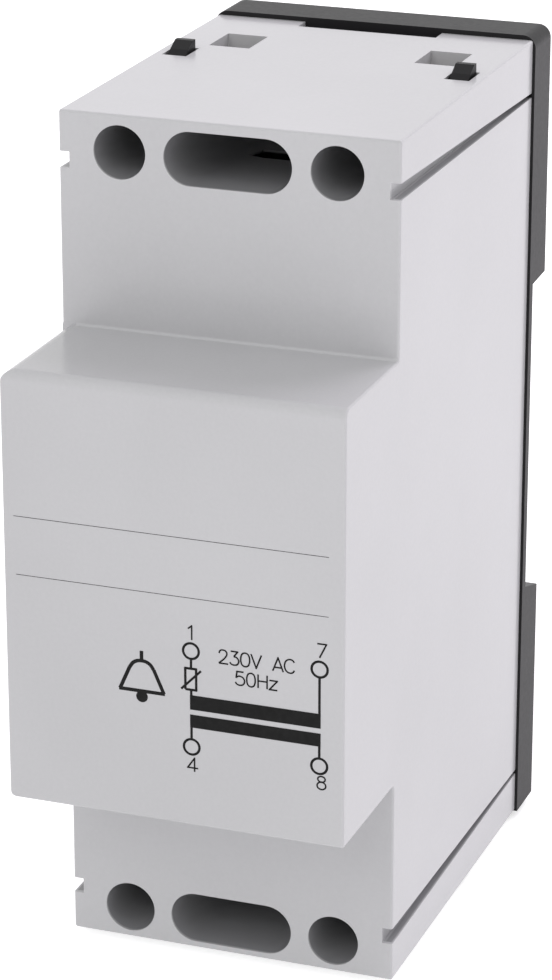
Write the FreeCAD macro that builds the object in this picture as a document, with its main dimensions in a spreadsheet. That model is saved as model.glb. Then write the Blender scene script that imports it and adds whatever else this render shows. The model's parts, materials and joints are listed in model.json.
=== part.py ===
import FreeCAD
import Part
import Sketcher
import math
import os

# Bell transformer for a 35 mm rail. X is its width, Y its depth with the front at -Y, Z up.
# The origin is the middle of the face that seats on the rail.

# Driving dimensions in millimetres
DIMENSIONS = {
    # Housing shell
    "housing_width": 35.6,
    "housing_height": 89.6,
    "nose_height": 45.4,
    "nose_depth": 15.6,
    "shoulder_depth": 45.2,
    "front_wall": 1.8,
    "side_wall": 1.6,
    "edge_round": 0.25,
    "corner_round": 0.32,
    "nose_top_round": 1.0,
    "nose_left_round_top": 1.5,
    "nose_left_round_bottom": 0.95,
    # Openings of the housing
    "row_inset_top": 3.8,
    "row_inset_bottom": 3.48,
    "terminal_inset": 6.45,
    "screw_bore": 5.5,
    "ledge_hole": 4.0,
    "ledge_thickness": 1.2,
    "shelf_thickness": 2.2,
    "oblong_length": 13.4,
    "oblong_height": 5.5,
    "oblong_depth": 20.8,
    "back_recess_width": 12.8,
    "back_recess_depth": 20.8,
    "vent_setback": 12.5,
    "vent_width": 3.2,
    "vent_left": 2.7,
    "vent_right": 5.1,
    "vent_point": 1.9,
    "vent_point_setback": 0.55,
    "vent_back_inset": 0.6,
    "notch_width": 15.5,
    "notch_depth": 2.3,
    "notch_drop": 2.2,
    "groove_depth": 1.1,
    "groove_mouth": 1.7,
    "groove_tail": 0.5,
    "groove_inset": 4.2,
    "groove_back_inset_top": 5.7,
    "groove_back_inset_bottom": 4.65,
    # Terminals
    "wire_window_width": 4.5,
    "wire_window_length": 5.7,
    "wire_window_setback": 9.2,
    "cage_opening": 4.2,
    "cage_wall": 0.7,
    "cage_front_wall": 2.0,
    "cage_rear_wall": 1.2,
    "cage_height": 4.0,
    "cage_gap": 0.2,
    "cage_end_gap": 0.25,
    "clamp_travel": 5.0,
    "thread_diameter": 3.3,
    "thread_gap": 0.15,
    "screw_head": 5.0,
    "screw_head_height": 2.0,
    "screw_slot": 0.8,
    "screw_slot_depth": 1.0,
    "strip_thickness": 1.0,
    "strip_gap": 0.2,
    "tag_reach": 5.0,
    "seat_gap": 0.05,
    # Base plate and its hooks
    "base_overhang": 0.32,
    "plate_thickness": 1.2,
    "rim_rise": 0.5,
    "base_edge_round": 0.5,
    "base_corner": 1.4,
    "block_depth": 5.0,
    "block_wall": 1.6,
    "block_upper_slope": 0.25,
    "block_lower_slope": 1.5,
    "rail_width": 35.0,
    "rail_thickness": 1.0,
    "rail_play": 0.2,
    "lip_overlap": 1.7,
    "lip_gap": 0.4,
    "lip_width": 6.0,
    "lip_spacing": 20.0,
    "hook_inset": 2.4,
    "hook_width": 2.0,
    "hook_slot_width": 2.7,
    "hook_slot_near": 16.6,
    "hook_slot_far": 20.4,
    "hook_gap": 0.2,
    "hook_rise": 1.0,
    "hook_flat": 0.7,
    "hook_foot_drop": 0.7,
    "hook_knee_rise": 0.3,
    "arm_thickness": 2.0,
    # Rail clip and its spring
    "clip_width": 15.4,
    "clip_flange": 2.0,
    "clip_flange_thickness": 1.2,
    "clip_gap": 0.3,
    "clip_nose_width": 12.0,
    "clip_window_width": 8.0,
    "channel_floor": 1.0,
    "spring_top": 25.0,
    "spring_length": 10.7,
    "spring_strip": 0.4,
    "post_height": 2.0,
    "pry_slot_width": 6.0,
    "pry_slot_height": 1.6,
    # Transformer
    "lamination_leg": 7.0,
    "window_width": 7.0,
    "window_length": 21.0,
    "stack_height": 18.0,
    "core_standoff": 8.0,
    "core_hole": 3.4,
    "cradle_rib": 3.0,
    "bobbin_wall": 1.0,
    "bobbin_gap": 0.2,
    "winding_gap": 0.15,
    "bobbin_side_gap": 1.45,
    "winding_inset": 0.8,
    "tape_thickness": 0.3,
    "lead_diameter": 1.0,
    "lead_bend": 1.2,
    "lead_drop": 1.0,
    "lead_stand": 2.4,
    "lead_hole_gap": 0.2,
    "ptc_diameter": 7.0,
    "ptc_thickness": 2.4,
    "ptc_leg": 0.8,
    "ptc_leg_length": 1.2,
}

SHEET = "Sizes"
TOLERANCE = 0.01
SPRING_FOLDS = 8

doc = FreeCAD.newDocument("BellTransformer")
sheet = doc.addObject("Spreadsheet::Sheet", SHEET)
for row, (alias, length) in enumerate(DIMENSIONS.items(), start=1):
    sheet.set(f"A{row}", alias)
    sheet.set(f"B{row}", str(length))
    sheet.setAlias(f"B{row}", alias)
doc.recompute()


class Size:
    """A length of the sheet, or a sum or product of such lengths, with its expression."""

    def __init__(self, value, text):
        self.value = value
        self.text = text

    def __add__(self, other):
        other = as_size(other)
        return Size(self.value + other.value, f"({self.text} + {other.text})")

    def __sub__(self, other):
        other = as_size(other)
        return Size(self.value - other.value, f"({self.text} - {other.text})")

    def __mul__(self, other):
        other = as_size(other)
        return Size(self.value * other.value, f"({self.text} * {other.text})")

    def __truediv__(self, other):
        other = as_size(other)
        return Size(self.value / other.value, f"({self.text} / {other.text})")

    def __neg__(self):
        return Size(-self.value, f"(-{self.text})")


def as_size(number):
    return number if isinstance(number, Size) else Size(float(number), str(float(number)))


def size(alias):
    return Size(sheet.get(alias), f"{SHEET}.{alias}")


# Planes of a body: the role of the origin plane, and which way its normal points
PLANES = {"XY": ("XY_Plane", 1), "XZ": ("XZ_Plane", -1), "YZ": ("YZ_Plane", 1)}


def bind(owner, path, length):
    owner.setExpression(path, length.text)


def rect(left, right, low, high):
    return [(left, low), (right, low), (right, high), (left, high)]


def add_polygon(sketch, points):
    """Closed outline whose corners are tied to the sheet."""
    corners = [FreeCAD.Vector(as_size(u).value, as_size(v).value, 0) for u, v in points]
    first = sketch.GeometryCount
    count = len(corners)
    for i, corner in enumerate(corners):
        sketch.addGeometry(Part.LineSegment(corner, corners[(i + 1) % count]))
    for i in range(count):
        sketch.addConstraint(Sketcher.Constraint("Coincident", first + i, 2, first + (i + 1) % count, 1))
    for i, (u, v) in enumerate(points):
        tie_point(sketch, first + i, 1, u, v)


def tie_point(sketch, geometry, point, u, v):
    for kind, place in (("DistanceX", as_size(u)), ("DistanceY", as_size(v))):
        index = sketch.addConstraint(Sketcher.Constraint(kind, -1, 1, geometry, point, place.value))
        sketch.setExpression(f"Constraints[{index}]", place.text)


def add_circle(sketch, u, v, diameter):
    centre = FreeCAD.Vector(as_size(u).value, as_size(v).value, 0)
    circle = Part.Circle(centre, FreeCAD.Vector(0, 0, 1), diameter.value / 2)
    index = sketch.addGeometry(circle)
    tie_point(sketch, index, 3, u, v)
    tie = sketch.addConstraint(Sketcher.Constraint("Diameter", index, diameter.value))
    sketch.setExpression(f"Constraints[{tie}]", diameter.text)


def add_oblong(sketch, v, length, height):
    """Slot with round ends, centred across the width."""
    radius = height.value / 2
    reach = (length - height) / 2
    ends = []
    for side, start, stop in ((1, -90, 90), (-1, 90, 270)):
        centre = FreeCAD.Vector(side * reach.value, v.value, 0)
        circle = Part.Circle(centre, FreeCAD.Vector(0, 0, 1), radius)
        arc = Part.ArcOfCircle(circle, math.radians(start), math.radians(stop))
        ends.append(sketch.addGeometry(arc))
        tie_point(sketch, ends[-1], 3, reach * side, v)
    right, left = ends
    low = FreeCAD.Vector(0, v.value - radius, 0)
    high = FreeCAD.Vector(0, v.value + radius, 0)
    across = FreeCAD.Vector(reach.value, 0, 0)
    top = sketch.addGeometry(Part.LineSegment(high + across, high - across))
    bottom = sketch.addGeometry(Part.LineSegment(low - across, low + across))
    for first, second in ((right, top), (top, left), (left, bottom), (bottom, right)):
        sketch.addConstraint(Sketcher.Constraint("Tangent", first, 2, second, 1))
    tie = sketch.addConstraint(Sketcher.Constraint("Radius", right, radius))
    sketch.setExpression(f"Constraints[{tie}]", (height / 2).text)


def add_corner_waste(sketch, u, v, out_u, out_v, radius):
    """Waste outside a rounded corner at u and v; the signs say which way is out of the solid."""
    past = size("edge_round")
    middle_u = u - radius * out_u
    middle_v = v - radius * out_v
    far_u = u + past * out_u
    far_v = v + past * out_v
    centre = FreeCAD.Vector(middle_u.value, middle_v.value, 0)
    start, stop = (180, 270) if out_u < 0 and out_v < 0 else (90, 180)
    circle = Part.Circle(centre, FreeCAD.Vector(0, 0, 1), radius.value)
    arc = sketch.addGeometry(Part.ArcOfCircle(circle, math.radians(start), math.radians(stop)))
    tie_point(sketch, arc, 3, middle_u, middle_v)
    tie = sketch.addConstraint(Sketcher.Constraint("Radius", arc, radius.value))
    sketch.setExpression(f"Constraints[{tie}]", radius.text)
    on_side = FreeCAD.Vector(u.value, middle_v.value, 0)
    on_end = FreeCAD.Vector(middle_u.value, v.value, 0)
    corners = [on_end, FreeCAD.Vector(middle_u.value, far_v.value, 0), FreeCAD.Vector(far_u.value, far_v.value, 0),
               FreeCAD.Vector(far_u.value, middle_v.value, 0), on_side]
    lines = [sketch.addGeometry(Part.LineSegment(a, b)) for a, b in zip(corners, corners[1:])]
    for first, second in zip(lines, lines[1:]):
        sketch.addConstraint(Sketcher.Constraint("Coincident", first, 2, second, 1))
    side_end, end_end = (1, 2) if start == 180 else (2, 1)
    sketch.addConstraint(Sketcher.Constraint("Coincident", lines[0], 1, arc, end_end))
    sketch.addConstraint(Sketcher.Constraint("Coincident", lines[-1], 2, arc, side_end))
    sketch.addConstraint(Sketcher.Constraint("Vertical", lines[0]))
    sketch.addConstraint(Sketcher.Constraint("Horizontal", lines[-1]))
    tie_point(sketch, lines[1], 1, middle_u, far_v)
    tie_point(sketch, lines[2], 1, far_u, far_v)
    tie_point(sketch, lines[3], 1, far_u, middle_v)


def new_body(node):
    body = doc.addObject("PartDesign::Body", node)
    body.Label = node
    return body


def new_sketch(body, name, plane, offset):
    role, _ = PLANES[plane]
    sketch = body.newObject("Sketcher::SketchObject", name + "_outline")
    support = next(item for item in body.Origin.OriginFeatures if item.Role == role)
    sketch.AttachmentSupport = [(support, "")]
    sketch.MapMode = "FlatFace"
    bind(sketch, "AttachmentOffset.Base.z", offset)
    return sketch


def run_feature(body, kind, name, plane, start, end, draw):
    """Pad or pocket of an outline, from the plane at start to the plane at end."""
    start = as_size(start)
    end = as_size(end)
    upward = PLANES[plane][1] > 0
    if kind == "Pad":
        offset = start if upward else -end
    else:
        offset = end if upward else -start
    before = body.Shape.Volume if body.Tip else 0.0
    sketch = new_sketch(body, name, plane, offset)
    draw(sketch)
    feature = body.newObject(f"PartDesign::{kind}", name)
    feature.Profile = sketch
    bind(feature, "Length", end - start)
    doc.recompute()
    change = body.Shape.Volume - before
    if (change <= 0) == (kind == "Pad"):
        raise RuntimeError(f"{name} on {body.Label} changed the volume by {change:.3f}")
    return feature


def pad(body, name, plane, start, end, *polygons):
    def draw(sketch):
        for polygon in polygons:
            add_polygon(sketch, polygon)
    return run_feature(body, "Pad", name, plane, start, end, draw)


def pocket(body, name, plane, start, end, *polygons):
    def draw(sketch):
        for polygon in polygons:
            add_polygon(sketch, polygon)
    return run_feature(body, "Pocket", name, plane, start, end, draw)


def round_feature(body, kind, name, plane, start, end, diameter, *centres):
    def draw(sketch):
        for u, v in centres:
            add_circle(sketch, u, v, diameter)
    return run_feature(body, kind, name, plane, start, end, draw)


def soften(body, name, radius, choose):
    """Fillet of the edges whose middle and run the chooser accepts."""
    base = body.Tip
    names = []
    for i, edge in enumerate(base.Shape.Edges, start=1):
        middle = edge.CenterOfMass
        run = edge.tangentAt(edge.FirstParameter)
        reach = [abs(run.x), abs(run.y), abs(run.z)]
        if choose(middle, "XYZ"[reach.index(max(reach))]):
            names.append(f"Edge{i}")
    fillet = body.newObject("PartDesign::Fillet", name)
    fillet.Base = (base, names)
    bind(fillet, "Radius", radius)
    doc.recompute()
    return fillet


def near(first, second):
    return abs(first - as_size(second).value) < TOLERANCE


def ordered(*ends):
    return sorted(ends, key=lambda end: end.value)


# Places that several pieces share
side = size("housing_width") / 2
top = size("housing_height") / 2
nose = size("nose_height") / 2
seat = Size(0.0, "0")
housing_rear = -size("plate_thickness")
shoulder = -size("shoulder_depth")
front = shoulder - size("nose_depth")
terminal_x = side - size("terminal_inset")
hook_x = side - size("hook_inset")
row_top = top - size("row_inset_top")
row_bottom = -top + size("row_inset_bottom")
ROWS = ((1, row_top), (-1, row_bottom))
SIDES = (1, -1)
chamber_half = size("cage_height") / 2 + size("cage_end_gap")
cavity_top = row_top - chamber_half - size("shelf_thickness")
cavity_bottom = row_bottom + chamber_half + size("shelf_thickness")
cavity_side = side - size("side_wall")

# Terminal stations along the depth, from the wire entry forwards
wire_rear = -size("wire_window_setback")
wire_front = wire_rear - size("wire_window_length")
strip_rear = wire_front
strip_front = strip_rear - size("strip_thickness")
cage_inner_front = strip_front - size("strip_gap")
cage_front = cage_inner_front - size("cage_front_wall")
cage_rear = wire_rear + size("cage_rear_wall")
ledge_rear = cage_front - size("clamp_travel") - size("cage_gap")
ledge_front = ledge_rear - size("ledge_thickness")
cage_inner_half = size("cage_opening") / 2
cage_half = cage_inner_half + size("cage_wall")
strip_half = cage_inner_half - size("cage_gap")
tag_top = cavity_top - size("tag_reach")
tag_bottom = cavity_bottom + size("tag_reach")

# Transformer stations
leg = size("lamination_leg")
core_rear = -size("core_standoff")
window_reach = leg + size("window_width")
core_front = core_rear - (window_reach + leg) * 2
core_middle = (core_rear + core_front) / 2
window_half = size("window_length") / 2
core_half_height = window_half + leg
stack_half = size("stack_height") / 2


def on_outline(place):
    """True at a corner of the stepped side outline."""
    on_step = near(place.y, shoulder) or near(place.y, front)
    return near(abs(place.z), top) or (on_step and near(abs(place.z), nose))


def make_housing():
    body = new_body("housing")
    profile = [
        (housing_rear, -top), (housing_rear, top), (shoulder, top), (shoulder, nose),
        (front, nose), (front, -nose), (shoulder, -nose), (shoulder, -top),
    ]
    pad(body, "shell", "YZ", -side, side, profile)
    soften(body, "nose_crown", size("nose_top_round"),
           lambda m, run: run == "X" and near(m.y, front) and near(m.z, nose))
    soften(body, "profile_corners", size("corner_round"),
           lambda m, run: run == "X" and not near(m.y, housing_rear) and on_outline(m))
    soften(body, "side_edges", size("edge_round"),
           lambda m, run: near(abs(m.x), side) and not near(m.y, housing_rear))

    def left_corners(sketch):
        add_corner_waste(sketch, -side, nose, -1, 1, size("nose_left_round_top"))
        add_corner_waste(sketch, -side, -nose, -1, -1, size("nose_left_round_bottom"))
    run_feature(body, "Pocket", "nose_left_corners", "XZ", front, shoulder, left_corners)

    nose_wall = nose - size("front_wall")
    behind = housing_rear + size("plate_thickness")
    cavity_front = shoulder + size("front_wall")
    nose_front = front + size("front_wall")
    pocket(body, "cavity", "YZ", -cavity_side, cavity_side,
           [(behind, cavity_bottom), (behind, cavity_top), (cavity_front, cavity_top),
            (cavity_front, nose_wall), (nose_front, nose_wall), (nose_front, -nose_wall),
            (cavity_front, -nose_wall), (cavity_front, cavity_bottom)])

    centres = [(terminal_x * s, z) for s in SIDES for _, z in ROWS]
    round_feature(body, "Pocket", "screw_bores", "XZ", shoulder, ledge_front,
                  size("screw_bore"), *centres)
    round_feature(body, "Pocket", "ledge_holes", "XZ", ledge_front, ledge_rear,
                  size("ledge_hole"), *centres)
    chamber = cage_half + size("cage_gap")
    pocket(body, "cage_chambers", "XZ", ledge_rear, behind,
           *[rect(x - chamber, x + chamber, z - chamber_half, z + chamber_half) for x, z in centres])

    arm_half = size("hook_width") / 2 + size("hook_gap")
    arm_room = size("arm_thickness") + size("hook_gap") * 2
    arm_pockets = []
    for sign, z in ROWS:
        outer = z + chamber_half * sign
        low, high = ordered(outer, outer - arm_room * sign)
        for s in SIDES:
            arm_pockets.append(rect(hook_x * s - arm_half, hook_x * s + arm_half, low, high))
    pocket(body, "arm_pockets", "XZ", -size("hook_slot_far"), behind, *arm_pockets)

    def oblongs(sketch):
        for _, z in ROWS:
            add_oblong(sketch, z, size("oblong_length"), size("oblong_height"))
    oblong_floor = shoulder + size("oblong_depth")
    run_feature(body, "Pocket", "oblong_openings", "XZ", shoulder, oblong_floor, oblongs)
    recess = size("back_recess_width") / 2
    pocket(body, "back_recesses", "XZ", housing_rear - size("back_recess_depth"), behind,
           *[rect(-recess, recess, z - chamber_half, z + chamber_half) for _, z in ROWS])

    vent_front = shoulder + size("vent_setback")
    vent_back = vent_front + size("vent_width")
    vent_tip = -size("vent_left")
    vent_side = vent_tip + size("vent_point")
    pocket(body, "vent_slot", "XY", cavity_top - size("front_wall"), row_top,
           [(vent_tip, vent_front + size("vent_point_setback")), (vent_side, vent_front),
            (size("vent_right"), vent_front), (size("vent_right"), vent_back),
            (vent_tip + size("vent_back_inset"), vent_back)])

    window_half_width = size("wire_window_width") / 2
    slot_half = size("hook_slot_width") / 2
    notch_half = size("notch_width") / 2
    for sign, z in ROWS:
        end = "top" if sign > 0 else "bottom"
        outside = (top + size("edge_round")) * sign
        skin = ordered(z, outside)
        pocket(body, f"wire_windows_{end}", "XY", *skin,
               *[rect(terminal_x * s - window_half_width, terminal_x * s + window_half_width,
                      wire_front, wire_rear) for s in SIDES])
        pocket(body, f"hook_slots_{end}", "XY", *skin,
               *[rect(hook_x * s - slot_half, hook_x * s + slot_half,
                      -size("hook_slot_far"), -size("hook_slot_near")) for s in SIDES])
        drop = ordered((top - size("notch_drop")) * sign, outside)
        pocket(body, f"rear_notch_{end}", "XY", *drop,
               rect(-notch_half, notch_half, housing_rear - size("notch_depth"), behind))
        floor = z - (chamber_half + size("shelf_thickness") + size("front_wall")) * sign
        strip_room = strip_half + size("seat_gap")
        shelf = ordered(floor, z)
        pocket(body, f"strip_slots_{end}", "XY", *shelf,
               *[rect(terminal_x * s - strip_room, terminal_x * s + strip_room,
                      strip_front - size("seat_gap"), strip_rear + size("seat_gap")) for s in SIDES])

    mouth_top = top - size("groove_inset")
    tail_top = top - size("groove_back_inset_top")
    mouth_bottom = -top + size("groove_inset")
    tail_bottom = -top + size("groove_back_inset_bottom")
    mouth = size("groove_mouth")
    tail = size("groove_tail")
    upper_groove = [(shoulder, mouth_top - mouth), (housing_rear, tail_top - tail),
                    (housing_rear, tail_top), (shoulder, mouth_top)]
    lower_groove = [(shoulder, mouth_bottom), (housing_rear, tail_bottom),
                    (housing_rear, tail_bottom + tail), (shoulder, mouth_bottom + mouth)]
    groove_floor = side - size("groove_depth")
    pocket(body, "right_grooves", "YZ", groove_floor, side, upper_groove, lower_groove)
    pocket(body, "left_grooves", "YZ", -side, -groove_floor, upper_groove, lower_groove)

    rib_top = core_half_height - size("cradle_rib") / 2
    pad(body, "core_ribs", "XZ", nose_front, core_front - size("seat_gap"),
        rect(-stack_half, stack_half, rib_top - size("cradle_rib"), rib_top),
        rect(-stack_half, stack_half, -rib_top, -rib_top + size("cradle_rib")))
    return body


def make_base():
    body = new_body("base_plate")
    half = side + size("base_overhang")
    rim = top + size("rim_rise")
    back = size("block_depth")
    upper_end = size("rail_width") / 2 + size("rail_play") / 2
    lower_end = -size("rail_width") / 2 - size("rail_play")
    pad(body, "plate", "XZ", housing_rear, seat, rect(-half, half, -top, rim))
    pad(body, "upper_block", "YZ", -half, half,
        [(housing_rear, upper_end), (seat, upper_end), (back, upper_end + size("block_upper_slope")),
         (back, rim), (housing_rear, rim)])
    pad(body, "lower_block", "YZ", -half, half,
        [(housing_rear, lower_end), (seat, lower_end), (back, lower_end - size("block_lower_slope")),
         (back, -top), (housing_rear, -top)])
    soften(body, "rim_corners", size("base_corner"),
           lambda m, run: run == "Y" and near(m.z, rim))
    heel = upper_end + size("block_upper_slope")
    soften(body, "rear_edges", size("base_edge_round"),
           lambda m, run: near(m.y, back) and (
               near(abs(m.x), half) or near(m.z, rim) or near(m.z, heel) or near(m.z, -top)))

    wall = size("block_wall")
    cell_floor = size("plate_thickness")
    cell = (half * 2 - wall * 4) / 3
    upper_cells = []
    for i in (-1, 0, 1):
        middle = (cell + wall) * i
        upper_cells.append(rect(middle - cell / 2, middle + cell / 2,
                                heel + wall, rim - wall))
    pocket(body, "upper_cells", "XZ", cell_floor, back, *upper_cells)

    slide_half = size("clip_width") / 2 + size("clip_gap")
    flange_half = slide_half + size("clip_flange")
    floor = size("channel_floor")
    flange_back = floor + size("clip_flange_thickness") + size("clip_gap") * 2
    side_cell = flange_half + wall
    pocket(body, "lower_cells", "XZ", cell_floor, back,
           *[rect(*ordered(side_cell * s, (half - wall) * s),
                  -top + wall, lower_end - size("block_lower_slope") - wall) for s in SIDES])
    past = size("edge_round")
    pocket(body, "clip_channel", "XY", -top - past, lower_end + past,
           [(-flange_half, floor), (flange_half, floor),
            (flange_half, flange_back), (slide_half, flange_back),
            (slide_half, back), (-slide_half, back),
            (-slide_half, flange_back), (-flange_half, flange_back)])
    post_top = -size("spring_top") - size("spring_length")
    post_half = size("clip_window_width") / 2 - size("clip_gap")
    pad(body, "spring_post", "XZ", floor, back - size("clip_gap") * 2,
        rect(-post_half, post_half, post_top - size("post_height"), post_top))

    lip_low = size("rail_width") / 2 - size("lip_overlap")
    lip_front = size("rail_thickness") + size("lip_gap")
    lip_half = size("lip_width") / 2
    lip_root = upper_end + wall
    lip_profile = [(lip_front, lip_low), (back - size("lip_overlap"), lip_low),
                   (back, lip_low + size("lip_overlap")), (back, lip_root), (lip_front, lip_root)]
    for s in SIDES:
        middle = size("lip_spacing") / 2 * s
        end = "right" if s > 0 else "left"
        pad(body, f"{end}_lip", "YZ", middle - lip_half, middle + lip_half, lip_profile)
    lip_room = lip_half + size("lip_gap")
    nose_room = size("clip_nose_width") / 2 + size("clip_gap")
    pocket(body, "lip_windows", "XZ", housing_rear, seat,
           *[rect(size("lip_spacing") / 2 * s - lip_room, size("lip_spacing") / 2 * s + lip_room,
                  lip_low - size("lip_gap"), upper_end) for s in SIDES],
           rect(-nose_room, nose_room, lower_end, -lip_low + size("lip_gap")))

    tip = -size("hook_slot_far") + size("hook_gap")
    catch = -size("hook_slot_near") - size("hook_gap")
    hook_half = size("hook_width") / 2
    for sign, z in ROWS:
        arm_outer = z + (chamber_half - size("hook_gap")) * sign
        arm_inner = arm_outer - size("arm_thickness") * sign
        crest = (top + size("hook_rise")) * sign
        ramp_foot = (top - size("hook_foot_drop")) * sign
        ramp_knee = (top + size("hook_knee_rise")) * sign
        ramp_end = catch - size("hook_flat")
        profile = [(housing_rear, arm_inner), (tip, arm_inner), (tip, ramp_foot),
                   ((tip + ramp_end) / 2, ramp_knee), (ramp_end, crest),
                   (catch, crest), (catch, arm_outer), (housing_rear, arm_outer)]
        for s in SIDES:
            middle = hook_x * s
            end = ("upper" if sign > 0 else "lower") + ("_right" if s > 0 else "_left")
            pad(body, f"{end}_hook", "YZ", middle - hook_half, middle + hook_half, profile)

    rib_top = core_half_height - size("cradle_rib") / 2
    pad(body, "core_cradle", "XZ", core_rear + size("seat_gap"), housing_rear,
        rect(-stack_half, stack_half, rib_top - size("cradle_rib"), rib_top),
        rect(-stack_half, stack_half, -rib_top, -rib_top + size("cradle_rib")))
    return body


def make_clip():
    body = new_body("rail_clip")
    half = size("clip_width") / 2
    flange_half = half + size("clip_flange")
    clip_front = size("channel_floor") + size("clip_gap")
    clip_rear = size("block_depth") - size("clip_gap")
    flange_rear = clip_front + size("clip_flange_thickness")
    shoulder_z = -size("rail_width") / 2 - size("rail_play") - size("block_lower_slope")
    foot = -top + size("clip_gap")
    pad(body, "slider", "XZ", clip_front, clip_rear, rect(-half, half, foot, shoulder_z))
    pad(body, "runners", "XZ", clip_front, flange_rear,
        rect(-flange_half, flange_half, foot, shoulder_z))
    lip_high = -size("rail_width") / 2 + size("lip_overlap")
    lip_front = size("rail_thickness") + size("lip_gap")
    nose_half = size("clip_nose_width") / 2
    pad(body, "nose", "YZ", -nose_half, nose_half,
        [(lip_front, shoulder_z), (clip_rear, shoulder_z), (clip_rear, lip_high - size("lip_overlap")),
         (clip_rear - size("lip_overlap"), lip_high), (lip_front, lip_high)])
    window = size("clip_window_width") / 2
    spring_top = -size("spring_top")
    window_low = spring_top - size("spring_length") - size("post_height") - size("clip_gap")
    pocket(body, "spring_window", "XZ", clip_front, clip_rear,
           rect(-window, window, window_low, spring_top))
    pry = size("pry_slot_width") / 2
    pry_low = foot + size("block_wall")
    pocket(body, "pry_slot", "XZ", clip_front, clip_rear,
           rect(-pry, pry, pry_low, pry_low + size("pry_slot_height")))
    return body


def make_spring():
    """Folded strip between the base's post and the head of the clip's window."""
    body = new_body("clip_spring")
    strip = size("spring_strip")
    half = strip / 2
    low = -size("spring_top") - size("spring_length") + size("seat_gap") + half
    pitch = (size("spring_length") - strip - size("seat_gap") * 2) / SPRING_FOLDS
    reach = size("clip_window_width") / 2 - size("clip_gap") * 2
    inside = reach - strip * reach / pitch
    rising = [(-reach, low - half)]
    falling = [(-reach, low + half)]
    for i in range(1, SPRING_FOLDS):
        z = low + pitch * i
        if i % 2:
            rising += [(reach, z - half), (reach, z + half)]
            falling.append((inside, z))
        else:
            rising.append((-inside, z))
            falling += [(-reach, z - half), (-reach, z + half)]
    end = low + pitch * SPRING_FOLDS
    rising.append((-reach, end + half))
    falling.append((-reach, end - half))
    outline = rising + falling[::-1]
    spring_front = size("channel_floor") + size("clip_gap")
    pad(body, "folds", "XZ", spring_front, spring_front + size("clip_flange_thickness"), outline)
    return body


def place_terminal(body, s, sign, z):
    turn = FreeCAD.Rotation(FreeCAD.Vector(0, 1, 0), 0 if sign > 0 else 180)
    x = terminal_x * s
    body.Placement = FreeCAD.Placement(FreeCAD.Vector(x.value, 0, z.value), turn)
    bind(body, "Placement.Base.x", x)
    bind(body, "Placement.Base.z", z)
    doc.recompute()


def make_screw(number):
    body = new_body(f"terminal_{number}_screw")
    axis = (0, 0)
    head_rear = ledge_front - size("seat_gap")
    head_front = head_rear - size("screw_head_height")
    tip = strip_front - size("strip_gap") * 2
    round_feature(body, "Pad", "head", "XZ", head_front, head_rear, size("screw_head"), axis)
    round_feature(body, "Pad", "shank", "XZ", head_rear, tip, size("thread_diameter"), axis)
    long = size("screw_head") / 2
    short = size("screw_slot") * 2
    half = size("screw_slot") / 2
    slot_floor = head_front + size("screw_slot_depth")
    pocket(body, "slot", "XZ", head_front, slot_floor, rect(-long, long, -half, half))
    pocket(body, "cross", "XZ", head_front, slot_floor, rect(-half, half, -short, short))
    return body


def make_cage(number):
    body = new_body(f"terminal_{number}_cage")
    half_height = size("cage_height") / 2
    pad(body, "loop", "XY", -half_height, half_height,
        rect(-cage_half, cage_half, cage_front, cage_rear),
        rect(-cage_inner_half, cage_inner_half, cage_inner_front, wire_rear))
    thread = size("thread_diameter") + size("thread_gap") * 2
    round_feature(body, "Pocket", "thread", "XZ", cage_front, cage_inner_front, thread, (0, 0))
    return body


def make_strip(number, sign, z):
    body = new_body(f"terminal_{number}_strip")
    high = size("cage_height") / 2 - size("cage_gap")
    tag = tag_top if sign > 0 else tag_bottom
    low = (tag - z) * sign
    pad(body, "bar", "XZ", strip_front, strip_rear, rect(-strip_half, strip_half, low, high))
    round_feature(body, "Pocket", "tag_hole", "XZ", strip_front, strip_rear, size("lead_diameter"),
                  (0, low + size("tag_reach") / 2))
    return body


def add_hole_pair(body, name, z, sign):
    """Holes that take the leads through an end flange."""
    x, y = lead_foot()
    hole = size("lead_diameter") + size("lead_hole_gap") * 2
    low, high = ordered(z, z + size("bobbin_wall") * sign)
    round_feature(body, "Pocket", name, "XY", low, high, hole, (x, y), (-x, y))


def coil_reach(extra):
    """Half sizes across X and along Y at a distance outside the bobbin's hole."""
    return stack_half + size("bobbin_gap") + extra, leg + size("bobbin_gap") + extra


def winding_limits():
    inner_x, inner_y = coil_reach(size("bobbin_wall") + size("winding_gap"))
    outer_x = cavity_side - size("bobbin_side_gap") - size("winding_inset")
    outer_y = window_reach - size("bobbin_gap") - size("winding_inset")
    return inner_x, inner_y, outer_x, outer_y


def lead_foot():
    """Where a lead enters its winding: over the middle of a corner of the copper."""
    inner_x, inner_y, outer_x, outer_y = winding_limits()
    return (inner_x + outer_x) / 2, core_middle + (inner_y + outer_y) / 2


def around_coil(half_x, half_y):
    return rect(-half_x, half_x, core_middle - half_y, core_middle + half_y)


def make_core():
    e_stack = new_body("core_e_stack")
    inner = core_middle + leg
    outer = core_middle + window_reach
    far_inner = core_middle - leg
    far_outer = core_middle - window_reach
    pad(e_stack, "laminations", "YZ", -stack_half, stack_half,
        [(core_front, -window_half), (far_outer, -window_half), (far_outer, window_half),
         (far_inner, window_half), (far_inner, -window_half), (inner, -window_half),
         (inner, window_half), (outer, window_half), (outer, -window_half), (core_rear, -window_half),
         (core_rear, core_half_height), (core_front, core_half_height)])
    i_stack = new_body("core_i_stack")
    pad(i_stack, "laminations", "YZ", -stack_half, stack_half,
        rect(core_front, core_rear, -core_half_height, -window_half))
    corner = leg / 2
    for stack, z in ((e_stack, core_half_height - corner), (i_stack, -core_half_height + corner)):
        round_feature(stack, "Pocket", "rivet_holes", "YZ", -stack_half, stack_half, size("core_hole"),
                      (core_front + corner, z), (core_rear - corner, z))
    return [e_stack, i_stack]


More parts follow.
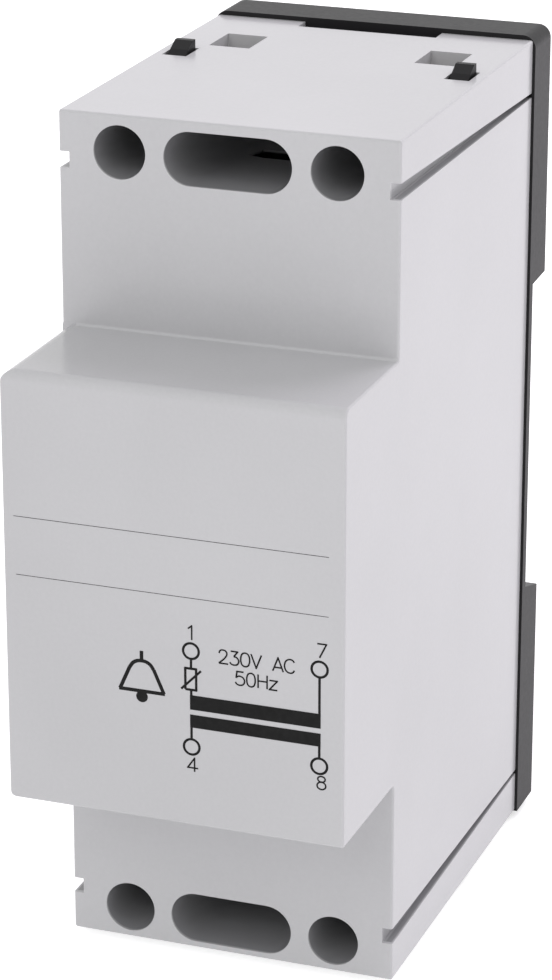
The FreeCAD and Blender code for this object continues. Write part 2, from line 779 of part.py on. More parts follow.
def make_bobbin():
    body = new_body("bobbin")
    end = window_half - size("bobbin_gap")
    wall = size("bobbin_wall")
    tube_x, tube_y = coil_reach(wall)
    _, _, outer_x, outer_y = winding_limits()
    flange_x = outer_x + size("winding_inset")
    flange_y = outer_y + size("winding_inset")
    pad(body, "tube", "XY", -end, end, around_coil(tube_x, tube_y))
    for name, low in (("lower_flange", -end), ("middle_flange", -wall / 2), ("upper_flange", end - wall)):
        pad(body, name, "XY", low, low + wall, around_coil(flange_x, flange_y))
    hole_x, hole_y = coil_reach(0)
    pocket(body, "core_hole", "XY", -end, end, around_coil(hole_x, hole_y))
    add_hole_pair(body, "upper_lead_holes", end - wall, 1)
    add_hole_pair(body, "lower_lead_holes", -end + wall, -1)
    return body


def make_windings():
    inner_x, inner_y, outer_x, outer_y = winding_limits()
    near_end = size("bobbin_wall") / 2 + size("winding_gap")
    far_end = winding_end()
    made = []
    for name, sign in (("primary", 1), ("secondary", -1)):
        low, high = ordered(near_end * sign, far_end * sign)
        copper = new_body(f"{name}_winding")
        pad(copper, "turns", "XY", low, high,
            around_coil(outer_x, outer_y), around_coil(inner_x, inner_y))
        tape = new_body(f"{name}_tape")
        skin = size("seat_gap") + size("tape_thickness")
        pad(tape, "wrap", "XY", low, high, around_coil(outer_x + skin, outer_y + skin),
            around_coil(outer_x + size("seat_gap"), outer_y + size("seat_gap")))
        made += [copper, tape]
    return made


def winding_end():
    return window_half - size("bobbin_gap") - size("bobbin_wall") - size("winding_gap")


def bent_path(points, radius):
    """Straight runs joined by tangent arcs."""
    edges = []
    start = points[0]
    for before, corner, after in zip(points, points[1:], points[2:]):
        inward = (before - corner).normalize()
        outward = (after - corner).normalize()
        half_turn = inward.getAngle(outward) / 2
        reach = radius / math.tan(half_turn)
        first = corner + inward * reach
        last = corner + outward * reach
        bisector = (inward + outward).normalize()
        centre = corner + bisector * (radius / math.sin(half_turn))
        edges.append(Part.LineSegment(start, first).toShape())
        edges.append(Part.Arc(first, centre - bisector * radius, last).toShape())
        start = last
    edges.append(Part.LineSegment(start, points[-1]).toShape())
    return Part.Wire(edges)


def make_lead(number, s, sign, start):
    """Wire from a terminal's tag, or from the thermistor, down into its winding."""
    foot_x, foot_y = lead_foot()
    x = terminal_x.value * s
    y = ((strip_front + strip_rear) / 2).value
    above = (start - size("lead_drop") * sign).value
    below = (window_half - size("bobbin_gap") + size("lead_stand")).value * sign
    points = [
        FreeCAD.Vector(x, y, start.value),
        FreeCAD.Vector(x, y, above),
        FreeCAD.Vector(foot_x.value * s, foot_y.value, below),
        FreeCAD.Vector(foot_x.value * s, foot_y.value, winding_end().value * sign),
    ]
    path = bent_path(points, size("lead_bend").value)
    ring = Part.Wire(Part.makeCircle(size("lead_diameter").value / 2, points[0], points[1] - points[0]))
    lead = doc.addObject("Part::Feature", f"lead_{number}")
    lead.Label = f"lead_{number}"
    lead.Shape = path.makePipeShell([ring], True, False)
    return lead


def cylinder(name, diameter, length, x, y, z, turn):
    drum = doc.addObject("Part::Cylinder", name)
    bind(drum, "Radius", diameter / 2)
    bind(drum, "Height", length)
    drum.Placement = FreeCAD.Placement(FreeCAD.Vector(x.value, y.value, z.value), turn)
    for axis, place in (("x", x), ("y", y), ("z", z)):
        bind(drum, f"Placement.Base.{axis}", place)
    return drum


def make_thermistor():
    """Disc on two wire legs between terminal 1 and its winding."""
    x = -terminal_x
    y = (strip_front + strip_rear) / 2
    disc_top = tag_top - size("ptc_leg_length")
    disc_middle = disc_top - size("ptc_diameter") / 2
    upright = FreeCAD.Rotation()
    across = FreeCAD.Rotation(FreeCAD.Vector(1, 0, 0), 90)
    disc = cylinder("ptc_disc", size("ptc_diameter"), size("ptc_thickness"),
                    x, y + size("ptc_thickness") / 2, disc_middle, across)
    legs = cylinder("ptc_legs", size("ptc_leg"), size("ptc_diameter") + size("ptc_leg_length") * 2,
                    x, y, thermistor_end(), upright)
    joined = doc.addObject("Part::MultiFuse", "ptc_thermistor")
    joined.Shapes = [disc, legs]
    joined.Label = "ptc_thermistor"
    doc.recompute()
    return joined


def thermistor_end():
    return tag_top - size("ptc_diameter") - size("ptc_leg_length") * 2


def make_terminals():
    made = []
    for number, s, sign, z in ((1, -1, 1, row_top), (7, 1, 1, row_top),
                               (4, -1, -1, row_bottom), (8, 1, -1, row_bottom)):
        pieces = [make_screw(number), make_cage(number), make_strip(number, sign, z)]
        for piece in pieces:
            place_terminal(piece, s, sign, z)
        start = tag_top if sign > 0 else tag_bottom
        if number == 1:
            start = thermistor_end()
        made += pieces + [make_lead(number, s, sign, start)]
    return made


def check_and_write(pieces):
    doc.recompute()
    for item in doc.Objects:
        if "Invalid" in item.State or "Error" in item.State:
            raise RuntimeError(f"{item.Label} is in state {item.State}")
    for piece in pieces:
        shape = piece.Shape
        if shape.isNull() or not shape.isValid() or len(shape.Solids) != 1:
            raise RuntimeError(f"{piece.Label} is not one valid solid")
    os.makedirs("parts", exist_ok=True)
    for piece in pieces:
        piece.Shape.exportStep(f"parts/{piece.Label}.step")
        print(f"{piece.Label}: {piece.Shape.Volume:.1f} mm3")


check_and_write([make_housing(), make_base(), make_clip(), make_spring(), *make_core(), make_bobbin(),
                 *make_windings(), make_thermistor(), *make_terminals()])
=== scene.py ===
import json
import math

import bmesh
import bpy
from mathutils import Matrix, Vector


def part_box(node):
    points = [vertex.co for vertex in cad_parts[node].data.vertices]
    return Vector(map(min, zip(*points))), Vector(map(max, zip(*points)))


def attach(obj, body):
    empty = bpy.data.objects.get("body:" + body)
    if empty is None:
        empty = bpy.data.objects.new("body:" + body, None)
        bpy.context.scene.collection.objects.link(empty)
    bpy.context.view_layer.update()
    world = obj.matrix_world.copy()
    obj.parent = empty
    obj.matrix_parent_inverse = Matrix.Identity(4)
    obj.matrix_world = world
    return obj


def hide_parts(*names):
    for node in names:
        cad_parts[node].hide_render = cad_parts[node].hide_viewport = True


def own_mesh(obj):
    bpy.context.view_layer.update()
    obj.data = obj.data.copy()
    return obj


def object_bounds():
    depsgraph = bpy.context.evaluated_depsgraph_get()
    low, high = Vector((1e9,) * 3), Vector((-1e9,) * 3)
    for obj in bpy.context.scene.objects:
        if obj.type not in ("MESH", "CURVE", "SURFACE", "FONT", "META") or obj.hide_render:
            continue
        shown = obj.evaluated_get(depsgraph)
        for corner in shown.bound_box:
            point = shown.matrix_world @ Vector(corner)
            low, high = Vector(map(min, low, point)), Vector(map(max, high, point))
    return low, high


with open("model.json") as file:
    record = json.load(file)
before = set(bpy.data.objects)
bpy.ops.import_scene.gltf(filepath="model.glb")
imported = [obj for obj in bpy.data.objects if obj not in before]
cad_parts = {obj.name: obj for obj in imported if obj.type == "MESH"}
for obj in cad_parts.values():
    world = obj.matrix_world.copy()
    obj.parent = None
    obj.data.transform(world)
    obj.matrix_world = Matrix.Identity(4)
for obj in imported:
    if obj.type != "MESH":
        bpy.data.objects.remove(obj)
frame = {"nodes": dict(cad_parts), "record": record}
cad_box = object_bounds()

MM = 0.001

# Camera: its place and target in the part's frame, its lens and sensor in millimetres, its range in metres
CAMERA_PLACE = Vector((125.37, -372.40, 136.27)) * MM
CAMERA_TARGET = Vector((4.899, -44.8, 7.618)) * MM
CAMERA_LENS = 136.71
CAMERA_SENSOR = 36.0
CAMERA_NEAR = 0.01
CAMERA_FAR = 20.0

# Studio, in metres: the floor glows more to the camera than it does to the part
FLOOR_HALF = 3.0
FLOOR_TONE = 0.80
FLOOR_ROUGHNESS = 0.9
FLOOR_GLOW = 0.60
FLOOR_BOUNCE = 0.30
AMBIENT = 0.56
WHITE = (1, 1, 1, 1)
LAMPS = {
    # Name: direction from the part, distance, width, watts and colour
    "back_top": ((0.15, 0.72, 0.68), 1.5, 1.4, 13.4, (1.010, 0.940, 1.050)),
    "front_top": ((-0.10, -0.72, 0.70), 1.6, 1.4, 6.7, (1.0, 1.0, 1.0)),
    "right_side": ((0.98, 0.10, 0.08), 1.5, 1.4, 3.2, (1.020, 0.950, 1.050)),
}

# Painted shade in the hollows of the housing, in millimetres: reach across from the middle, along the depth
# and up or down from the middle, and the darker tone painted on their walls, which is a touch bluer than
# grey.
# The tone stands in for the shade in the bores, vent, hook slots and side groove; the groove's walls and
# floor get different tones so that they look evenly shaded
PAINTED_HOLLOW_SHADE = {
    "bores": ((-1.0, 16.2), (-45.05, -23.0), (35.0, 44.45), 0.34),
    "vent": ((-1.0, 5.4), (-33.2, -29.0), (33.0, 38.15), 0.01),
    "hook_slots": ((13.9, 16.9), (-20.6, -16.4), (43.2, 44.62), 0.10),
    "groove_walls": ((16.8, 17.76), (-44.9, -1.0), (38.0, 41.3), 0.30),
    "groove_floors": ((16.3, 17.1), (-44.9, -1.0), (38.0, 41.3), 0.46),
}
# Painted shade: how softly its edges fade, in millimetres, and how much bluer than grey it is
PAINTED_SHADE_BLUR = 0.25
PAINTED_SHADE_BLUE = 1.03

# Print on the nose, in millimetres: how proud the ink stands, stroke widths, letter heights and how finely
# its round shapes are divided
INK_RISE = 0.03
RULE_STROKE = 0.055
LETTER_STROKE = 0.175
SLASH_STROKE = 0.24
WIRE_STROKE = 0.265
BELL_STROKE = 0.39
LETTER_HEIGHT = 1.42
SMALL_LETTER_HEIGHT = 0.97
CURVE_STEPS = 8
STROKE_STEPS = 2
DOT_SIDES = 40

# Spring under the rail clip, in millimetres
SPRING_FOLDS = 8
SPRING_STRIP = 0.4
SPRING_FOLD_ROUND = 0.35
SPRING_FOLD_STEPS = 4


# Objects

def add_object(name, data):
    item = bpy.data.objects.new(name, data)
    bpy.context.scene.collection.objects.link(item)
    return item


def mesh_from(shape, name):
    mesh = bpy.data.meshes.new(name)
    shape.to_mesh(mesh)
    shape.free()
    return mesh


def new_piece(name, shape, material, body):
    """A piece of the part that moves with a body."""
    mesh = mesh_from(shape, name)
    mesh.materials.append(material)
    piece = add_object(name, mesh)
    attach(piece, body)
    return piece


# Steps of a material

def start_material(name):
    material = bpy.data.materials.new(name)
    material.use_nodes = True
    nodes = material.node_tree.nodes
    return nodes, material.node_tree.links, nodes["Principled BSDF"], material


def own_place(nodes):
    return nodes.new("ShaderNodeTexCoord").outputs["Object"]


def noise(nodes, links, scale, detail, roughness=0.5, stretch=None):
    """Cloudy variation, drawn out into lines where a stretch is given."""
    place = own_place(nodes)
    if stretch is not None:
        squeeze = nodes.new("ShaderNodeMapping")
        squeeze.inputs["Scale"].default_value = stretch
        links.new(place, squeeze.inputs["Vector"])
        place = squeeze.outputs["Vector"]
    texture = nodes.new("ShaderNodeTexNoise")
    texture.inputs["Scale"].default_value = scale
    texture.inputs["Detail"].default_value = detail
    texture.inputs["Roughness"].default_value = roughness
    links.new(place, texture.inputs["Vector"])
    return texture.outputs["Fac"]


def bands(nodes, links, direction, period):
    """Even bands across an axis, one in each period of so many millimetres."""
    # The wave texture runs through 20 radians in a metre at a scale of 1
    wave_radians = 20
    texture = nodes.new("ShaderNodeTexWave")
    texture.bands_direction = direction
    texture.inputs["Scale"].default_value = 2 * math.pi / (wave_radians * period * MM)
    texture.inputs["Distortion"].default_value = 0.0
    links.new(own_place(nodes), texture.inputs["Vector"])
    return texture.outputs["Fac"]


def two_tone(nodes, links, factor, low, high, start=0.3, end=0.7):
    ramp = nodes.new("ShaderNodeValToRGB")
    first, last = ramp.color_ramp.elements
    first.position = start
    first.color = (*low, 1)
    last.position = end
    last.color = (*high, 1)
    links.new(factor, ramp.inputs["Fac"])
    return ramp.outputs["Color"]


def overlay(nodes, links, under, over, share):
    mix = nodes.new("ShaderNodeMix")
    mix.data_type = "RGBA"
    mix.blend_type = "OVERLAY"
    mix.inputs["Factor"].default_value = share
    links.new(under, mix.inputs["A"])
    links.new(over, mix.inputs["B"])
    return mix.outputs["Result"]


def spread(nodes, links, factor, low, high):
    scale = nodes.new("ShaderNodeMapRange")
    scale.inputs["To Min"].default_value = low
    scale.inputs["To Max"].default_value = high
    links.new(factor, scale.inputs["Value"])
    return scale.outputs["Result"]


def calculate(nodes, links, operation, first, second=None):
    step = nodes.new("ShaderNodeMath")
    step.operation = operation
    links.new(first, step.inputs[0])
    if second is not None:
        links.new(second, step.inputs[1])
    return step.outputs["Value"]


def slope(nodes, links, value, start, end):
    """Nought at the start and one at the end, which are places in millimetres."""
    ramp = nodes.new("ShaderNodeMapRange")
    ramp.interpolation_type = "SMOOTHSTEP"
    ramp.inputs["From Min"].default_value = start * MM
    ramp.inputs["From Max"].default_value = end * MM
    links.new(value, ramp.inputs["Value"])
    return ramp.outputs["Result"]


def between(nodes, links, value, low, high):
    """One between two places in millimetres, and nought outside them."""
    rising = slope(nodes, links, value, low, low + PAINTED_SHADE_BLUR)
    falling = slope(nodes, links, value, high, high - PAINTED_SHADE_BLUR)
    return calculate(nodes, links, "MULTIPLY", rising, falling)


def raise_bump(nodes, links, shader, height, strength, depth):
    """Relief of so many millimetres."""
    bump = nodes.new("ShaderNodeBump")
    bump.inputs["Strength"].default_value = strength
    bump.inputs["Distance"].default_value = depth * MM
    links.new(height, bump.inputs["Height"])
    links.new(bump.outputs["Normal"], shader.inputs["Normal"])


# Finishes

def moulded_plastic(name, low, high, roughness, grain_scale, grain_depth, gloss=0.5):
    """Satin moulding: a slow tone drift, fine pigment speckle and a spark-eroded grain."""
    nodes, links, shader, material = start_material(name)
    drift = noise(nodes, links, scale=35, detail=3)
    speckle = noise(nodes, links, scale=2600, detail=2)
    tone = overlay(nodes, links, two_tone(nodes, links, drift, low, high), speckle, share=0.04)
    links.new(tone, shader.inputs["Base Color"])
    grain = noise(nodes, links, grain_scale, detail=3, roughness=0.6)
    links.new(spread(nodes, links, grain, *roughness), shader.inputs["Roughness"])
    shader.inputs["Specular IOR Level"].default_value = gloss
    raise_bump(nodes, links, shader, grain, strength=0.25, depth=grain_depth)
    return material


def housing_plastic():
    """The light grey moulding, with painted shade in its hollows: their walls are coloured darker than its
    skin.
    """
    material = moulded_plastic("housing_grey_plastic", (0.550, 0.549, 0.562), (0.585, 0.584, 0.598),
                               roughness=(0.17, 0.22), grain_scale=2400, grain_depth=0.002)
    nodes = material.node_tree.nodes
    links = material.node_tree.links
    shader = nodes["Principled BSDF"]
    skin = shader.inputs["Base Color"].links[0].from_socket
    axes = nodes.new("ShaderNodeSeparateXYZ")
    links.new(own_place(nodes), axes.inputs["Vector"])
    across = calculate(nodes, links, "ABSOLUTE", axes.outputs["X"])
    inward = axes.outputs["Y"]
    upright = calculate(nodes, links, "ABSOLUTE", axes.outputs["Z"])
    # Painted shade: the walls of each hollow are mixed towards a darker tone by position, in place of the
    # shade that falls there
    for reach, depth, height, tone in PAINTED_HOLLOW_SHADE.values():
        shade_mask = calculate(nodes, links, "MULTIPLY", between(nodes, links, across, *reach),
                         between(nodes, links, inward, *depth))
        shade_mask = calculate(nodes, links, "MULTIPLY", shade_mask, between(nodes, links, upright, *height))
        shade = nodes.new("ShaderNodeMix")
        shade.data_type = "RGBA"
        shade.inputs["B"].default_value = (tone, tone, tone * PAINTED_SHADE_BLUE, 1)
        links.new(shade_mask, shade.inputs["Factor"])
        links.new(skin, shade.inputs["A"])
        skin = shade.outputs["Result"]
    links.new(skin, shader.inputs["Base Color"])
    return material


def bare_metal(name, low, high, roughness, stretch, metallic=1.0):
    """Plated or rolled metal with fine drawn lines along one axis."""
    nodes, links, shader, material = start_material(name)
    lines = noise(nodes, links, scale=900, detail=3, stretch=stretch)
    cloud = noise(nodes, links, scale=160, detail=4)
    links.new(two_tone(nodes, links, cloud, low, high), shader.inputs["Base Color"])
    links.new(spread(nodes, links, lines, *roughness), shader.inputs["Roughness"])
    shader.inputs["Metallic"].default_value = metallic
    raise_bump(nodes, links, shader, lines, strength=0.2, depth=0.01)
    return material


def layered(name, low, high, direction, period, metallic, roughness):
    """Sheets or turns laid side by side, seen as fine dark joints."""
    nodes, links, shader, material = start_material(name)
    layers = bands(nodes, links, direction, period)
    grime = noise(nodes, links, scale=220, detail=4)
    joints = two_tone(nodes, links, layers, low, high, start=0.05, end=0.35)
    links.new(overlay(nodes, links, joints, grime, share=0.25), shader.inputs["Base Color"])
    links.new(spread(nodes, links, grime, *roughness), shader.inputs["Roughness"])
    shader.inputs["Metallic"].default_value = metallic
    raise_bump(nodes, links, shader, layers, strength=0.5, depth=0.05)
    return material


def printed_ink(name, low, high):
    """Matt print, a little uneven."""
    nodes, links, shader, material = start_material(name)
    mottle = noise(nodes, links, scale=1800, detail=3)
    links.new(two_tone(nodes, links, mottle, low, high), shader.inputs["Base Color"])
    links.new(spread(nodes, links, mottle, low=0.45, high=0.65), shader.inputs["Roughness"])
    shader.inputs["Specular IOR Level"].default_value = 0.12
    raise_bump(nodes, links, shader, mottle, strength=0.1, depth=0.005)
    return material


FINISHES = {
    "housing_grey": housing_plastic(),
    "base_black": moulded_plastic(
        "base_black_plastic", (0.0125, 0.0120, 0.0130), (0.0170, 0.0165, 0.0175),
        roughness=(0.34, 0.46), grain_scale=2000, grain_depth=0.03, gloss=0.17),
    "bobbin_white": moulded_plastic(
        "bobbin_plastic", (0.58, 0.56, 0.50), (0.64, 0.62, 0.56),
        roughness=(0.40, 0.50), grain_scale=2000, grain_depth=0.02),
    "tape_yellow": moulded_plastic(
        "insulating_tape", (0.62, 0.42, 0.05), (0.70, 0.50, 0.08),
        roughness=(0.25, 0.40), grain_scale=900, grain_depth=0.03),
    "ptc_brown": moulded_plastic(
        "thermistor_lacquer", (0.25, 0.10, 0.04), (0.33, 0.14, 0.06),
        roughness=(0.20, 0.35), grain_scale=700, grain_depth=0.04),
    "lead_red": moulded_plastic(
        "red_wire_sleeve", (0.33, 0.025, 0.02), (0.40, 0.035, 0.025),
        roughness=(0.35, 0.45), grain_scale=1500, grain_depth=0.02),
    "lead_blue": moulded_plastic(
        "blue_wire_sleeve", (0.025, 0.06, 0.22), (0.035, 0.08, 0.28),
        roughness=(0.35, 0.45), grain_scale=1500, grain_depth=0.02),
    "plated_steel": bare_metal(
        "zinc_plated_steel", (0.55, 0.56, 0.58), (0.68, 0.68, 0.70),
        roughness=(0.32, 0.48), stretch=(1.0, 0.05, 1.0), metallic=0.6),
    "spring_steel": bare_metal(
        "spring_steel_strip", (0.38, 0.39, 0.41), (0.50, 0.51, 0.53),
        roughness=(0.25, 0.38), stretch=(1.0, 0.05, 1.0)),
    "contact_brass": bare_metal(
        "contact_brass_strip", (0.66, 0.50, 0.24), (0.75, 0.60, 0.32),
        roughness=(0.22, 0.35), stretch=(1.0, 1.0, 0.05)),
    "core_steel": layered(
        "core_laminations", (0.05, 0.05, 0.055), (0.22, 0.22, 0.24),
        direction="X", period=0.5, metallic=0.6, roughness=(0.42, 0.58)),
    "copper": layered(
        "enamelled_copper_turns", (0.20, 0.07, 0.03), (0.62, 0.27, 0.12),
        direction="Z", period=0.3, metallic=0.8, roughness=(0.22, 0.38)),
}
INK = printed_ink("black_print", (0.010, 0.010, 0.010), (0.016, 0.016, 0.016))

for subpart in frame["record"]["subparts"]:
    node = frame["nodes"][subpart["node"]]
    node.data.materials.clear()
    node.data.materials.append(FINISHES[subpart["material_slot"]])


# Print on the nose front

NOSE_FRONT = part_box("housing")[0].y

# Strokes of each letter in a box one wide and one high: runs of straight lines, curves and closed loops
LETTERS = {
    "0": [("loop", [(0.5, 1), (0.19, 0.92), (0.04, 0.72), (0, 0.5), (0.04, 0.28), (0.19, 0.08), (0.5, 0),
                    (0.81, 0.08), (0.96, 0.28), (1, 0.5), (0.96, 0.72), (0.81, 0.92)])],
    "2": [("curve", [(0.03, 0.74), (0.13, 0.92), (0.43, 1), (0.76, 0.92), (0.86, 0.72), (0.72, 0.5),
                     (0, 0)]),
          ("line", [(0, 0), (1, 0)])],
    "3": [("line", [(0.11, 1), (0.88, 1), (0.45, 0.63)]),
          ("curve", [(0.45, 0.63), (0.76, 0.57), (0.98, 0.38), (0.96, 0.19), (0.79, 0.05), (0.48, 0),
                     (0.17, 0.05), (0, 0.17)])],
    "5": [("line", [(0.9, 1), (0.18, 1), (0.08, 0.52)]),
          ("curve", [(0.08, 0.52), (0.3, 0.65), (0.55, 0.66), (0.86, 0.56), (1, 0.33), (0.86, 0.09),
                     (0.5, 0), (0.17, 0.06), (0, 0.2)])],
    "V": [("line", [(0, 1), (0.5, 0), (1, 1)])],
    "A": [("line", [(0, 0), (0.5, 1), (1, 0)]), ("line", [(0.16, 0.28), (0.84, 0.28)])],
    "C": [("curve", [(0.98, 0.81), (0.84, 0.94), (0.54, 1), (0.2, 0.89), (0.02, 0.63), (0.02, 0.37),
                     (0.2, 0.11), (0.54, 0), (0.84, 0.06), (1, 0.22)])],
    "H": [("line", [(0, 0), (0, 1)]), ("line", [(1, 0), (1, 1)]), ("line", [(0, 0.52), (1, 0.52)])],
    "z": [("line", [(0, 1), (1, 1), (0, 0), (1, 0)])],
}


def oval(x, z, half_width, half_height):
    return ("loop", [(x, z + half_height), (x - half_width, z), (x, z - half_height), (x + half_width, z)])


def letter(sign, left, right, base, height):
    """Strokes of a letter, fitted between two sides on a base line."""
    width = right - left
    return [(kind, [(left + across * width, base + up * height) for across, up in points])
            for kind, points in LETTERS[sign]]


def add_bar(ink, left, right, low, high):
    """Solid block of ink."""
    middle = Matrix.Translation(((left + right) / 2 * MM, NOSE_FRONT, (low + high) / 2 * MM))
    size = Matrix.Diagonal(((right - left) * MM, 2 * INK_RISE * MM, (high - low) * MM, 1))
    bmesh.ops.create_cube(ink, size=1, matrix=middle @ size)


def add_dot(ink, x, z, radius):
    """Solid disc of ink."""
    place = Matrix.Translation((x * MM, NOSE_FRONT, z * MM)) @ Matrix.Rotation(math.radians(90), 4, "X")
    bmesh.ops.create_cone(ink, cap_ends=True, segments=DOT_SIDES, radius1=radius * MM, radius2=radius * MM,
                          depth=2 * INK_RISE * MM, matrix=place)


def add_strokes(ink, strokes, width):
    """Inked lines of one width, laid flat on the nose, with a dot at each corner."""
    curve = bpy.data.curves.new("strokes", "CURVE")
    curve.dimensions = "3D"
    curve.resolution_u = CURVE_STEPS
    curve.bevel_depth = width / 2 * MM
    curve.bevel_resolution = STROKE_STEPS
    curve.use_fill_caps = True
    for kind, points in strokes:
        places = [(x * MM, 0.0, z * MM) for x, z in points]
        if kind == "line":
            for ends in zip(places, places[1:]):
                spline = curve.splines.new("POLY")
                spline.points.add(1)
                for point, place in zip(spline.points, ends):
                    point.co = (*place, 1)
            for x, z in points[1:-1]:
                add_dot(ink, x, z, width / 2)
        else:
            spline = curve.splines.new("BEZIER")
            spline.bezier_points.add(len(places) - 1)
            for point, place in zip(spline.bezier_points, places):
                point.co = place
                point.handle_left_type = "AUTO"
                point.handle_right_type = "AUTO"
            spline.use_cyclic_u = kind == "loop"
    holder = add_object("strokes", curve)
    graph = bpy.context.evaluated_depsgraph_get()
    mesh = bpy.data.meshes.new_from_object(holder.evaluated_get(graph))
    flatten = Matrix.Scale(INK_RISE / (width / 2), 4, (0, 1, 0))
    mesh.transform(Matrix.Translation((0, NOSE_FRONT, 0)) @ flatten)
    ink.from_mesh(mesh)
    bpy.data.objects.remove(holder)
    bpy.data.curves.remove(curve)
    bpy.data.meshes.remove(mesh)


def print_piece(name, ink):
    bmesh.ops.recalc_face_normals(ink, faces=ink.faces)
    new_piece(name, ink, INK, "case")


def print_rules():
    """Two thin lines across the nose, the upper one a little longer."""
    upper, lower = 7.73, 1.59
    ink = bmesh.new()
    add_strokes(ink, [
        ("line", [(-16.65, upper), (16.16, upper)]),
        ("line", [(-16.51, lower), (16.15, lower)]),
    ], RULE_STROKE)
    print_piece("ruled_lines", ink)


def print_wiring_symbol():
    """Two coils as bars, four terminals as rings, and the thermistor in the lead of terminal 1."""
    left, right = 1.94, 15.26
    upper, lower = -3.97, -14.18
    ring = 0.82
    upper_lead_end, lower_lead_end = -8.8, -12.0
    upper_coil_low, upper_coil_high = -10.17, -8.64
    lower_coil_low, lower_coil_high = -12.085, -10.71
    coil_left, coil_right = left - WIRE_STROKE / 2, right + WIRE_STROKE / 2
    box_left, box_right, box_low, box_high = 1.33, 2.47, -8.07, -5.83
    slash = ("line", [(0.90, -8.08), (2.98, -5.94)])
    ink = bmesh.new()
    add_strokes(ink, [oval(x, z, ring, ring) for x in (left, right) for z in (upper, lower)], WIRE_STROKE)
    add_strokes(ink, [
        ("line", [(left, upper - ring), (left, box_high)]),
        ("line", [(box_left, box_low), (box_right, box_low), (box_right, box_high), (box_left, box_high),
                  (box_left, box_low)]),
        ("line", [(left, box_low), (left, upper_lead_end)]),
        ("line", [(right, upper - ring), (right, upper_lead_end)]),
        ("line", [(left, lower_lead_end), (left, lower + ring)]),
        ("line", [(right, lower_lead_end), (right, lower + ring)]),
    ], WIRE_STROKE)
    add_strokes(ink, [slash], SLASH_STROKE)
    add_bar(ink, coil_left, coil_right, upper_coil_low, upper_coil_high)
    add_bar(ink, coil_left, coil_right, lower_coil_low, lower_coil_high)
    print_piece("wiring_symbol", ink)


def print_terminal_numbers():
    """A number beside each ring of the wiring symbol."""
    one = ("line", [(1.66, -1.62), (2.04, -1.30), (2.04, -2.78)])
    seven = ("line", [(15.02, -1.30), (15.95, -1.29), (15.25, -2.74)])
    four = ("line", [(2.23, -16.82), (2.23, -15.37), (1.51, -16.43), (2.60, -16.43)])
    eight_top = oval(15.5, -15.54, 0.38, 0.30)
    eight_foot = oval(15.5, -16.24, 0.45, 0.39)
    ink = bmesh.new()
    add_strokes(ink, [one, seven, four, eight_top, eight_foot], LETTER_STROKE)
    print_piece("terminal_numbers", ink)


def print_rating():
    """A plain mains voltage, and its frequency below it."""
    voltage_base, frequency_base = -4.79, -6.83
    voltage = (("2", 4.86, 5.83), ("3", 6.00, 6.93), ("0", 7.13, 8.06), ("V", 8.20, 9.28),
               ("A", 10.45, 11.53), ("C", 11.66, 12.68))
    frequency = (("5", 6.57, 7.52), ("0", 7.75, 8.63), ("H", 8.93, 9.86))
    strokes = []
    for sign, left, right in voltage:
        strokes += letter(sign, left, right, voltage_base, LETTER_HEIGHT)
    for sign, left, right in frequency:
        strokes += letter(sign, left, right, frequency_base, LETTER_HEIGHT)
    strokes += letter("z", 10.10, 10.92, frequency_base, SMALL_LETTER_HEIGHT)
    ink = bmesh.new()
    add_strokes(ink, strokes, LETTER_STROKE)
    print_piece("rating_letters", ink)


def print_bell():
    """A bell in outline, with a stem on its crown and a clapper under its foot."""
    x = -3.27
    foot, shoulder, dome, crown, stem_top = -8.97, -6.55, -5.97, -5.74, -4.69
    foot_half, shoulder_half, dome_half = 2.33, 1.27, 0.80
    foot_overhang = 0.1
    clapper, clapper_radius = -9.55, 0.61
    ink = bmesh.new()
    add_strokes(ink, [
        ("line", [(x - foot_half, foot), (x - shoulder_half, shoulder)]),
        ("curve", [(x - shoulder_half, shoulder), (x - dome_half, dome), (x, crown), (x + dome_half, dome),
                   (x + shoulder_half, shoulder)]),
        ("line", [(x + shoulder_half, shoulder), (x + foot_half, foot)]),
        ("line", [(x - foot_half - foot_overhang, foot), (x + foot_half + foot_overhang, foot)]),
        ("line", [(x, crown), (x, stem_top)]),
    ], BELL_STROKE)
    add_dot(ink, x, clapper, clapper_radius)
    print_piece("bell_symbol", ink)


print_rules()
print_wiring_symbol()
print_terminal_numbers()
print_rating()
print_bell()


# Spring of the rail clip, which shortens as the clip is pulled down: here a folded strip at rest length,
# fixed to the case

def bend_spring():
    low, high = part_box("clip_spring")
    length = high.z - low.z
    half_strip = SPRING_STRIP / 2 * MM
    step = (length - 2 * half_strip) / SPRING_FOLDS
    strip = bmesh.new()
    corners = [strip.verts.new((low.x if i % 2 == 0 else high.x, low.y, low.z + half_strip + step * i))
               for i in range(SPRING_FOLDS + 1)]
    runs = [strip.edges.new(pair) for pair in zip(corners, corners[1:])]
    made = bmesh.ops.extrude_edge_only(strip, edges=runs)["geom"]
    far_corners = [item for item in made if isinstance(item, bmesh.types.BMVert)]
    bmesh.ops.translate(strip, verts=far_corners, vec=(0, high.y - low.y, 0))
    folds = [edge for edge in strip.edges if len(edge.link_faces) == 2]
    bmesh.ops.bevel(strip, geom=folds, offset=SPRING_FOLD_ROUND * MM, affect="EDGES",
                    segments=SPRING_FOLD_STEPS, profile=0.5, material=-1)
    bmesh.ops.recalc_face_normals(strip, faces=strip.faces)
    bmesh.ops.solidify(strip, geom=strip.faces[:], thickness=SPRING_STRIP * MM)
    bmesh.ops.recalc_face_normals(strip, faces=strip.faces)
    spring = new_piece("clip_spring_strip", strip, FINISHES["spring_steel"], "case")
    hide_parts("clip_spring")
    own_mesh(spring)


bend_spring()


# Studio

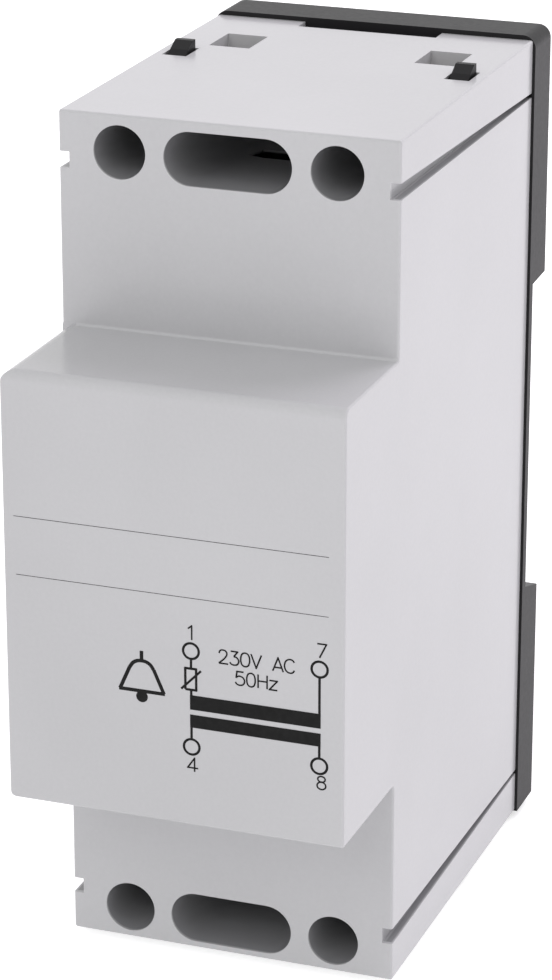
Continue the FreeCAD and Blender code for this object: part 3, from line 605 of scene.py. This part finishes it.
def lay_floor():
    sheet = bmesh.new()
    bmesh.ops.create_grid(sheet, x_segments=1, y_segments=1, size=FLOOR_HALF,
                          matrix=Matrix.Translation((0, 0, cad_box[0].z)))
    mesh = mesh_from(sheet, "floor")
    nodes, links, shader, material = start_material("pale_floor")
    shader.inputs["Base Color"].default_value = (FLOOR_TONE, FLOOR_TONE, FLOOR_TONE, 1)
    shader.inputs["Roughness"].default_value = FLOOR_ROUGHNESS
    shader.inputs["Emission Color"].default_value = WHITE
    path = nodes.new("ShaderNodeLightPath")
    links.new(spread(nodes, links, path.outputs["Is Camera Ray"], FLOOR_BOUNCE, FLOOR_GLOW),
              shader.inputs["Emission Strength"])
    mesh.materials.append(material)
    floor = add_object("floor", mesh)


def light_world():
    """White to the camera and in reflections, and a plain even light for the rest."""
    world = bpy.data.worlds.new("studio")
    world.use_nodes = True
    nodes = world.node_tree.nodes
    links = world.node_tree.links
    sky = nodes["Background"]
    sky.inputs["Color"].default_value = WHITE
    path = nodes.new("ShaderNodeLightPath")
    shown = calculate(nodes, links, "MAXIMUM", path.outputs["Is Camera Ray"], path.outputs["Is Glossy Ray"])
    shown = calculate(nodes, links, "MAXIMUM", shown, path.outputs["Is Transmission Ray"])
    links.new(spread(nodes, links, shown, AMBIENT, 1.0), sky.inputs["Strength"])
    bpy.context.scene.world = world


def hang_lamps():
    middle = (cad_box[0] + cad_box[1]) / 2
    for name, (direction, distance, width, watts, colour) in LAMPS.items():
        lamp = bpy.data.lights.new(name, "AREA")
        lamp.shape = "DISK"
        lamp.size = width
        lamp.energy = watts
        lamp.color = colour
        holder = add_object(name, lamp)
        towards = Vector(direction).normalized()
        holder.location = middle + towards * distance
        holder.rotation_mode = "QUATERNION"
        holder.rotation_quaternion = towards.to_track_quat("Z", "Y")
        holder.visible_glossy = False


def set_camera():
    lens = bpy.data.cameras.new("camera")
    lens.lens = CAMERA_LENS
    lens.sensor_width = CAMERA_SENSOR
    lens.clip_start = CAMERA_NEAR
    lens.clip_end = CAMERA_FAR
    camera = add_object("camera", lens)
    camera.location = CAMERA_PLACE
    camera.rotation_mode = "QUATERNION"
    camera.rotation_quaternion = (CAMERA_TARGET - CAMERA_PLACE).to_track_quat("-Z", "Y")
    bpy.context.scene.camera = camera


lay_floor()
light_world()
hang_lamps()
set_camera()
bpy.context.scene.view_settings.view_transform = "Standard"
